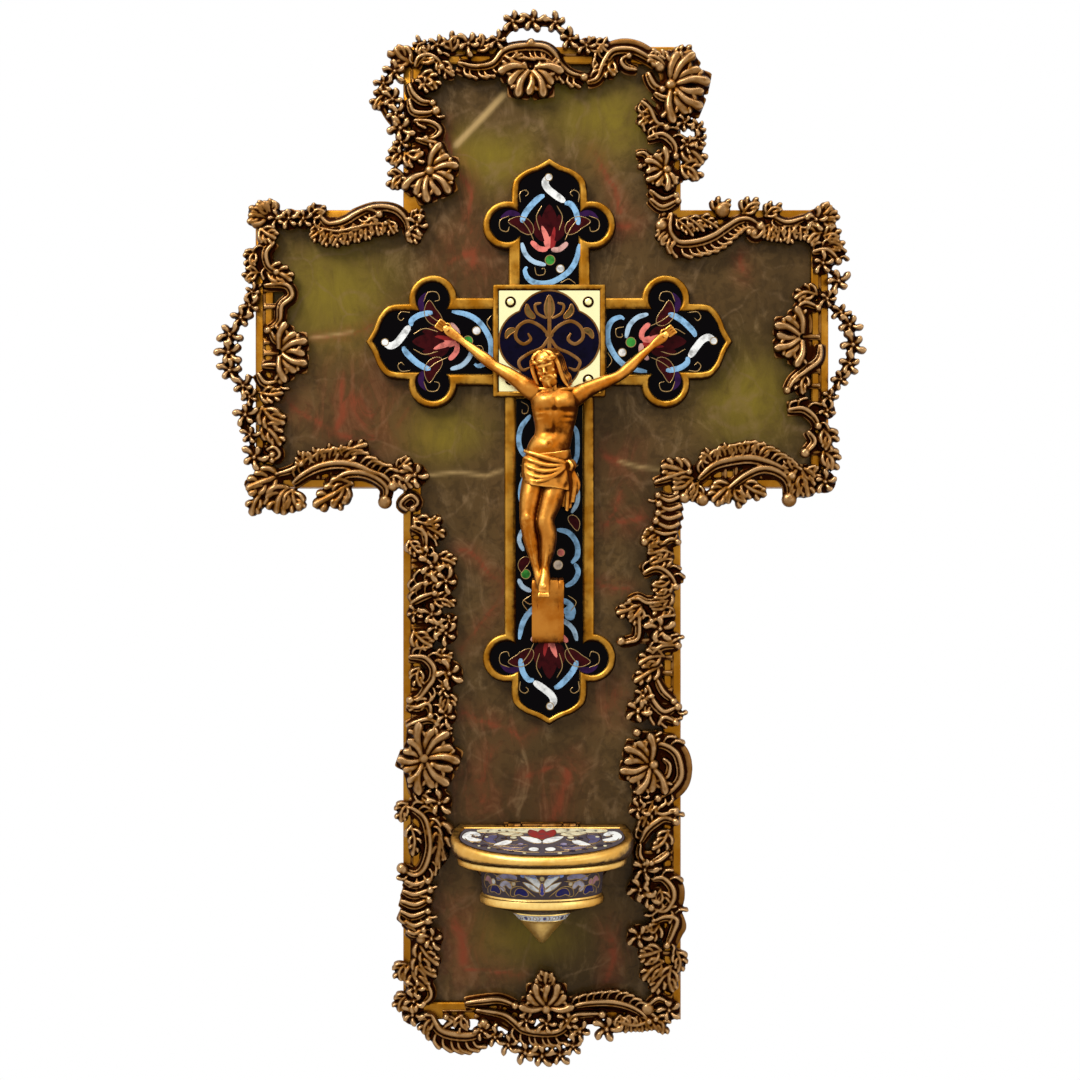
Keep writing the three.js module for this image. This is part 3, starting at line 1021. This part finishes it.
// The footrest: a bracket on the lower enamel, its side profile carried across its width.
function addFootrest() {
  const back = -ENAMEL_FRONT + SEAT_GAP;
  const front = back + FOOTREST_DEPTH;
  const foot = FOOTREST_TOP_Z - FOOTREST_HEIGHT;
  const profile = [
    [back, FOOTREST_TOP_Z],
    [front, FOOTREST_TOP_Z - 0.05 * FOOTREST_HEIGHT],
    [front, FOOTREST_TOP_Z - 0.2 * FOOTREST_HEIGHT],
    [back + 0.35 * FOOTREST_DEPTH, FOOTREST_TOP_Z - 0.85 * FOOTREST_HEIGHT],
    [back, foot],
  ];
  const ring = (x) => profile.map(([ahead, up]) => spot(x, ahead, up));
  const block = loft([ring(FOOTREST_X - FOOTREST_WIDTH / 2), ring(FOOTREST_X + FOOTREST_WIDTH / 2)]);
  addPiece(crucifix, 'footrest', block.subtract(feetBore()), giltBrass());
  const nailProfile = pinProfile(NAIL_RADIUS, NAIL_HEAD_RADIUS, NAIL_HEAD_HEIGHT, FEET_NAIL_LENGTH);
  const nail = turnedAlong(nailProfile, FIGURE.feetNail, backwards, SMALL_SIDES);
  addPiece(crucifix, 'nail_feet', nail, giltBrass());
}

function addCrucifix() {
  const whole = plate(crucifixOutline(), -SEAT_GAP, CRUCIFIX_THICKNESS);
  const studs = [CRUCIFIX_STUD_UP, -CRUCIFIX_STUD_DOWN].map((z) =>
    rod(0, z, STUD_RADIUS, STUD_END, STUD_END + SEAT_GAP + CRUCIFIX_THICKNESS / 3));
  const recesses = ARMS.map((arm) => plate(enamelOutline(arm, 0), RECESS_FLOOR, ENAMEL_RECESS + CUT_MARGIN));
  const pinBores = PLAQUE_PINS.map(({ x, z }) =>
    rod(x, z, PLAQUE_PIN_RADIUS + FIT_GAP, CUT_MARGIN, CUT_MARGIN - PLAQUE_FRONT + CUT_MARGIN, SMALL_SIDES));
  const nailBores = FIGURE_ARMS.map(handBore);
  const tools = [...recesses, ...pinBores, ...nailBores];
  addPiece(crucifix, 'crucifix_plate', cutAll(joinAll([whole, ...studs]), tools), giltBrass());
  for (const arm of ARMS) {
    const enamel = plate(enamelOutline(arm, FIT_GAP), ENAMEL_BACK, ENAMEL_THICKNESS);
    addPiece(crucifix, arm.name, cutAll(enamel, nailBores), blueEnamel());
  }
  const square = plate(rectangleOutline(0, 0, PLAQUE_SIZE, PLAQUE_SIZE), PLAQUE_BACK, PLAQUE_THICKNESS);
  const field = plate(quatrefoilOutline(0), PLAQUE_FRONT + ENAMEL_RECESS, ENAMEL_RECESS + CUT_MARGIN);
  addPiece(crucifix, 'center_plaque', cutAll(square, [field, ...pinBores]), giltBrass());
  const fieldBack = PLAQUE_FRONT + ENAMEL_RECESS - SEAT_GAP;
  const fieldEnamel = plate(quatrefoilOutline(FIT_GAP), fieldBack, ENAMEL_THICKNESS);
  addPiece(crucifix, 'center_enamel', fieldEnamel, blueEnamel());
  const profile = pinProfile(
    PLAQUE_PIN_RADIUS, PLAQUE_PIN_HEAD_RADIUS, PLAQUE_PIN_HEAD_HEIGHT, PLAQUE_PIN_LENGTH);
  for (const { name, x, z } of PLAQUE_PINS) {
    const at = place(x, PLAQUE_FRONT - SEAT_GAP - PLAQUE_PIN_HEAD_HEIGHT, z);
    addPiece(crucifix, name, turnedAlong(profile, at, backwards, SMALL_SIDES), giltBrass());
  }
}

// The bowl and its lid, in a group whose origin is on the slab's face at the height of the bowl's rim.
const font = new THREE.Group();
font.position.set(STOUP_X, SLAB_FRONT, STOUP_RIM_Z);
stoup.add(font);

const PLATE_FRONT = SEAT_GAP + BACK_PLATE_THICKNESS;
const BOWL_BACK = PLATE_FRONT + SEAT_GAP;
const BAND_TOP = -FLANGE_HEIGHT;
const BAND_FOOT = BAND_TOP - BOWL_BAND_HEIGHT;
const RING_FOOT = BAND_FOOT - FOOT_RING_HEIGHT;
const BASE_Z = RING_FOOT - BOWL_BASE_HEIGHT;
const CAVITY_FLOOR = BAND_FOOT + BOWL_FLOOR;
const LID_BACK = PLATE_FRONT + LID_BACK_GAP;
const HINGE_AHEAD = PLATE_FRONT + 2 * KNUCKLE_GAP + KNUCKLE_RADIUS;
const HINGE_Z = LID_CLEARANCE + LID_BACK_HEIGHT - KNUCKLE_GAP;

// A D-shaped ring, flat at its back: how wide it is, where it starts and ends, and its height there.
function planRing(width, back, front, heightAt) {
  const backShare = 0.944;
  const widestShare = 0.31;
  const half = width / 2;
  const widestAt = back + widestShare * (front - back);
  const ring = [[backShare * half, back]];
  for (let i = 0; i <= PLAN_STEPS; i += 1) {
    const turn = (Math.PI * i) / PLAN_STEPS;
    ring.push([half * Math.cos(turn), widestAt + (front - widestAt) * Math.sin(turn)]);
  }
  ring.push([-backShare * half, back]);
  return ring.map(([x, ahead]) => place(x, -ahead, heightAt(ahead)));
}

const level = (z) => () => z;
const bowlFront = (width) => BOWL_BACK + PLAN_DEPTH_PER_WIDTH * width;
const bowlRing = (width, z) => planRing(width, BOWL_BACK, bowlFront(width), level(z));
function cupRing(width, inset, z) {
  const back = BOWL_BACK + BOWL_BACK_WALL + inset;
  const front = bowlFront(width) - BOWL_WALL - inset;
  return planRing(width - 2 * (BOWL_WALL + inset), back, front, level(z));
}

// A band let into the outside of a tapering body, running out at its flat back.
function wrapBand(upper, lower, inset, proud) {
  const outerRing = ([width, z]) =>
    planRing(width + 2 * proud, BOWL_BACK - proud, bowlFront(width) + proud, level(z));
  const innerRing = ([width, z], past) =>
    planRing(width - 2 * inset, BOWL_BACK - proud - CUT_MARGIN, bowlFront(width) - inset, level(z + past));
  const core = loft([innerRing(upper, CUT_MARGIN), innerRing(lower, -CUT_MARGIN)]);
  return loft([outerRing(upper), outerRing(lower)]).subtract(core);
}

const bandWidthAt = (z) => THREE.MathUtils.mapLinear(z, BAND_TOP, BAND_FOOT, BOWL_WIDTH, BOWL_FOOT_WIDTH);
const FINIAL_TOP = BASE_Z - SEAT_GAP;
const FINIAL_TOP_WIDTH = BOWL_BASE_WIDTH - 2 * FIT_GAP;
const finialWidthAt = (z) => THREE.MathUtils.mapLinear(
  z, FINIAL_TOP, FINIAL_TOP - FINIAL_BAND_HEIGHT, FINIAL_TOP_WIDTH, FINIAL_BAND_FOOT_WIDTH);
const bandEnds = (widthAt, top, foot) => [[widthAt(top), top], [widthAt(foot), foot]];

function bowlBand(gap) {
  const top = BAND_TOP - BOWL_ENAMEL_MARGIN + gap;
  const foot = BAND_FOOT + BOWL_ENAMEL_MARGIN - gap;
  return [...bandEnds(bandWidthAt, top, foot), BOWL_ENAMEL_THICKNESS + gap];
}

function finialBand(gap) {
  const margin = FINIAL_ENAMEL_MARGIN;
  const top = FINIAL_TOP - margin + gap;
  const foot = FINIAL_TOP - FINIAL_BAND_HEIGHT + margin - gap;
  return [...bandEnds(finialWidthAt, top, foot), BOWL_ENAMEL_THICKNESS + gap];
}

function finialPeg(gap) {
  const radius = FINIAL_PEG_RADIUS + gap;
  const length = FINIAL_PEG_LENGTH + CUT_MARGIN + gap;
  const start = place(0, -(BOWL_BACK + FINIAL_PEG_FORWARD), FINIAL_TOP - CUT_MARGIN);
  return turnedAlong([[radius, 0], [radius, length]], start, place(0, 0, 1), SMALL_SIDES);
}

function addBowl() {
  const edge = FLANGE_EDGE_ROUND;
  const whole = loft([
    bowlRing(FLANGE_WIDTH - edge, 0),
    bowlRing(FLANGE_WIDTH, -edge),
    bowlRing(FLANGE_WIDTH, BAND_TOP + edge),
    bowlRing(FLANGE_WIDTH - edge, BAND_TOP),
    bowlRing(BOWL_WIDTH, BAND_TOP),
    bowlRing(BOWL_FOOT_WIDTH, BAND_FOOT),
    bowlRing(FOOT_RING_WIDTH, BAND_FOOT - FOOT_RING_HEIGHT / 4),
    bowlRing(FOOT_RING_WIDTH, RING_FOOT + FOOT_RING_HEIGHT / 4),
    bowlRing(BOWL_FOOT_WIDTH, RING_FOOT),
    bowlRing(BOWL_BASE_WIDTH, BASE_Z),
  ]);
  const cavity = loft([cupRing(BOWL_WIDTH, 0, CUT_MARGIN), cupRing(BOWL_FOOT_WIDTH, 0, CAVITY_FLOOR)]);
  const rebateFloor = -LINER_RIM_THICKNESS - SEAT_GAP;
  const rebate = loft([
    cupRing(BOWL_WIDTH, -LINER_RIM_WIDTH - FIT_GAP, CUT_MARGIN),
    cupRing(BOWL_WIDTH, -LINER_RIM_WIDTH - FIT_GAP, rebateFloor),
  ]);
  const studs = [-BOWL_STUD_SPREAD, BOWL_STUD_SPREAD].map((x) =>
    rod(x, -BOWL_STUD_BELOW_RIM, STUD_RADIUS, STUD_END, STUD_END + BOWL_BACK + BOWL_BACK_WALL / 3));
  const groove = wrapBand(...bowlBand(FIT_GAP), CUT_MARGIN);
  const tools = [cavity, rebate, groove, finialPeg(FIT_GAP)];
  addPiece(font, 'stoup_bowl', cutAll(joinAll([whole, ...studs]), tools), giltBrass());
  addPiece(font, 'bowl_enamel', wrapBand(...bowlBand(0), 0), greyEnamel());
}

function addLiner() {
  const rimTop = -SEAT_GAP / 2;
  const outside = loft([
    cupRing(BOWL_WIDTH, FIT_GAP, rimTop - LINER_RIM_THICKNESS / 2),
    cupRing(BOWL_FOOT_WIDTH, FIT_GAP, CAVITY_FLOOR + SEAT_GAP),
  ]);
  const rim = loft([
    cupRing(BOWL_WIDTH, -LINER_RIM_WIDTH, rimTop),
    cupRing(BOWL_WIDTH, -LINER_RIM_WIDTH, rimTop - LINER_RIM_THICKNESS),
  ]);
  const inside = loft([
    cupRing(BOWL_WIDTH, FIT_GAP + LINER_WALL, CUT_MARGIN),
    cupRing(BOWL_FOOT_WIDTH, FIT_GAP + LINER_WALL, CAVITY_FLOOR + SEAT_GAP + LINER_WALL),
  ]);
  addPiece(font, 'liner_cup', outside.add(rim).subtract(inside), giltBrass());
}

function addFinial() {
  const whole = loft([
    bowlRing(FINIAL_TOP_WIDTH, FINIAL_TOP),
    bowlRing(FINIAL_BAND_FOOT_WIDTH, FINIAL_TOP - FINIAL_BAND_HEIGHT),
    bowlRing(FINIAL_BAND_FOOT_WIDTH * 0.5, FINIAL_TOP - FINIAL_HEIGHT * 0.6),
    bowlRing(FINIAL_BAND_FOOT_WIDTH * 0.16, FINIAL_TOP - FINIAL_HEIGHT * 0.94),
    bowlRing(FINIAL_BAND_FOOT_WIDTH * 0.06, FINIAL_TOP - FINIAL_HEIGHT),
  ]);
  const groove = wrapBand(...finialBand(FIT_GAP), CUT_MARGIN);
  addPiece(font, 'finial', whole.subtract(groove).add(finialPeg(0)), giltBrass());
  addPiece(font, 'finial_enamel', wrapBand(...finialBand(0), 0), greyEnamel());
}

// The hinge: barrels along X on one axis, the lid's in the middle and the back plate's outside it.
const hingeBarrel = (from, length, radius, sides = ROUND_SIDES) =>
  turnedAlong([[radius, 0], [radius, length]], place(from, -HINGE_AHEAD, HINGE_Z), place(1, 0, 0), sides);
const PLATE_KNUCKLE_START = LID_KNUCKLE_LENGTH / 2 + KNUCKLE_GAP;
const HINGE_HALF_LENGTH = PLATE_KNUCKLE_START + PLATE_KNUCKLE_LENGTH;
const HINGE_BORE_HALF_LENGTH = HINGE_HALF_LENGTH + CUT_MARGIN;
const hingeBore = () =>
  hingeBarrel(-HINGE_BORE_HALF_LENGTH, 2 * HINGE_BORE_HALF_LENGTH, HINGE_PIN_RADIUS + FIT_GAP);

function addBackPlate() {
  const half = BACK_PLATE_WIDTH / 2;
  const rightEdge = [
    point(0.3 * half, -BACK_PLATE_BELOW_RIM),
    point(0.7 * half, BAND_FOOT),
    point(half, BAND_TOP),
    point(half, HINGE_Z + KNUCKLE_RADIUS),
  ];
  const leftEdge = rightEdge.map((p) => point(-p.x, p.y)).reverse();
  const whole = plate([...rightEdge, ...leftEdge], -SEAT_GAP, BACK_PLATE_THICKNESS);
  const bores = [-BOWL_STUD_SPREAD, BOWL_STUD_SPREAD].map((x) =>
    rod(x, -BOWL_STUD_BELOW_RIM, STUD_RADIUS + FIT_GAP, CUT_MARGIN, PLATE_FRONT + 2 * CUT_MARGIN));
  const knuckles = [-HINGE_HALF_LENGTH, PLATE_KNUCKLE_START].map((from) => {
    const web = plate(
      rectangleOutline(from + PLATE_KNUCKLE_LENGTH / 2, HINGE_Z, PLATE_KNUCKLE_LENGTH, KNUCKLE_RADIUS * 1.6),
      -PLATE_FRONT / 2, HINGE_AHEAD - PLATE_FRONT / 2);
    return hingeBarrel(from, PLATE_KNUCKLE_LENGTH, KNUCKLE_RADIUS).add(web);
  });
  const backPlate = cutAll(joinAll([whole, ...knuckles]), [...bores, hingeBore()]);
  addPiece(font, 'stoup_back_plate', backPlate, giltBrass());
}

const lidTop = (ahead) => LID_CLEARANCE
  + THREE.MathUtils.mapLinear(ahead, LID_BACK, LID_FRONT, LID_BACK_HEIGHT, LID_FRONT_HEIGHT);
const lidRing = (inset, backInset, heightAt) =>
  planRing(LID_WIDTH - 2 * inset, LID_BACK + backInset, LID_FRONT - inset, heightAt);
const belowTop = (drop) => (ahead) => lidTop(ahead) - drop;

function addLid() {
  const round = LID_EDGE_ROUND;
  const whole = loft([
    lidRing(round, 0, level(LID_CLEARANCE)),
    lidRing(0, 0, level(LID_CLEARANCE + round)),
    lidRing(0, 0, belowTop(round)),
    lidRing(round, 0, belowTop(0)),
  ]);
  const hollow = loft([
    lidRing(LID_RIM_WIDTH, LID_RIM_WIDTH, level(LID_CLEARANCE - CUT_MARGIN)),
    lidRing(LID_RIM_WIDTH, LID_RIM_WIDTH, belowTop(ENAMEL_RECESS + LID_TOP_THICKNESS)),
  ]);
  const recess = loft([
    lidRing(LID_ENAMEL_MARGIN, LID_ENAMEL_BACK, belowTop(ENAMEL_RECESS)),
    lidRing(LID_ENAMEL_MARGIN, LID_ENAMEL_BACK, belowTop(-CUT_MARGIN)),
  ]);
  const notchWidth = PLATE_KNUCKLE_LENGTH + HINGE_PIN_HEAD_LENGTH + 3 * KNUCKLE_GAP;
  const notchFoot = HINGE_Z - KNUCKLE_RADIUS - KNUCKLE_GAP;
  const notchHeight = 3 * KNUCKLE_RADIUS + KNUCKLE_GAP;
  const notchFront = HINGE_AHEAD + KNUCKLE_RADIUS + KNUCKLE_GAP;
  const notches = [-1, 1].map((hand) => {
    const middle = hand * (LID_KNUCKLE_LENGTH + notchWidth) / 2;
    const outline = rectangleOutline(middle, notchFoot + notchHeight / 2, notchWidth, notchHeight);
    return plate(outline, 0, notchFront);
  });
  const barrel = hingeBarrel(-LID_KNUCKLE_LENGTH / 2, LID_KNUCKLE_LENGTH, KNUCKLE_RADIUS);
  const lid = cutAll(whole, [hollow, recess, ...notches]).add(barrel).subtract(hingeBore());
  addPiece(font, 'lid', lid, giltBrass());
  const enamelFoot = ENAMEL_RECESS - SEAT_GAP;
  const enamelRing = (drop) =>
    lidRing(LID_ENAMEL_MARGIN + FIT_GAP, LID_ENAMEL_BACK + FIT_GAP, belowTop(drop));
  const enamel = loft([enamelRing(enamelFoot), enamelRing(enamelFoot - ENAMEL_THICKNESS)]);
  addPiece(font, 'lid_enamel', enamel, greyEnamel());
}

function addHingePin() {
  const half = HINGE_HALF_LENGTH + KNUCKLE_GAP / 2;
  const profile = [
    [HINGE_PIN_HEAD_RADIUS, 0],
    [HINGE_PIN_HEAD_RADIUS, HINGE_PIN_HEAD_LENGTH],
    [HINGE_PIN_RADIUS, HINGE_PIN_HEAD_LENGTH],
    [HINGE_PIN_RADIUS, 2 * half + HINGE_PIN_HEAD_LENGTH],
    [HINGE_PIN_HEAD_RADIUS, 2 * half + HINGE_PIN_HEAD_LENGTH],
    [HINGE_PIN_HEAD_RADIUS, 2 * half + 2 * HINGE_PIN_HEAD_LENGTH],
  ];
  const from = place(-half - HINGE_PIN_HEAD_LENGTH, -HINGE_AHEAD, HINGE_Z);
  addPiece(font, 'hinge_pin', turnedAlong(profile, from, place(1, 0, 0)), giltBrass());
}

addBoard();
addHanger();
addSlab();
addNuts();
addFrame();
addCastings();
addCrucifix();
addFigure();
addFootrest();
addBackPlate();
addBowl();
addLiner();
addFinial();
addLid();
addHingePin();

export default stoup;
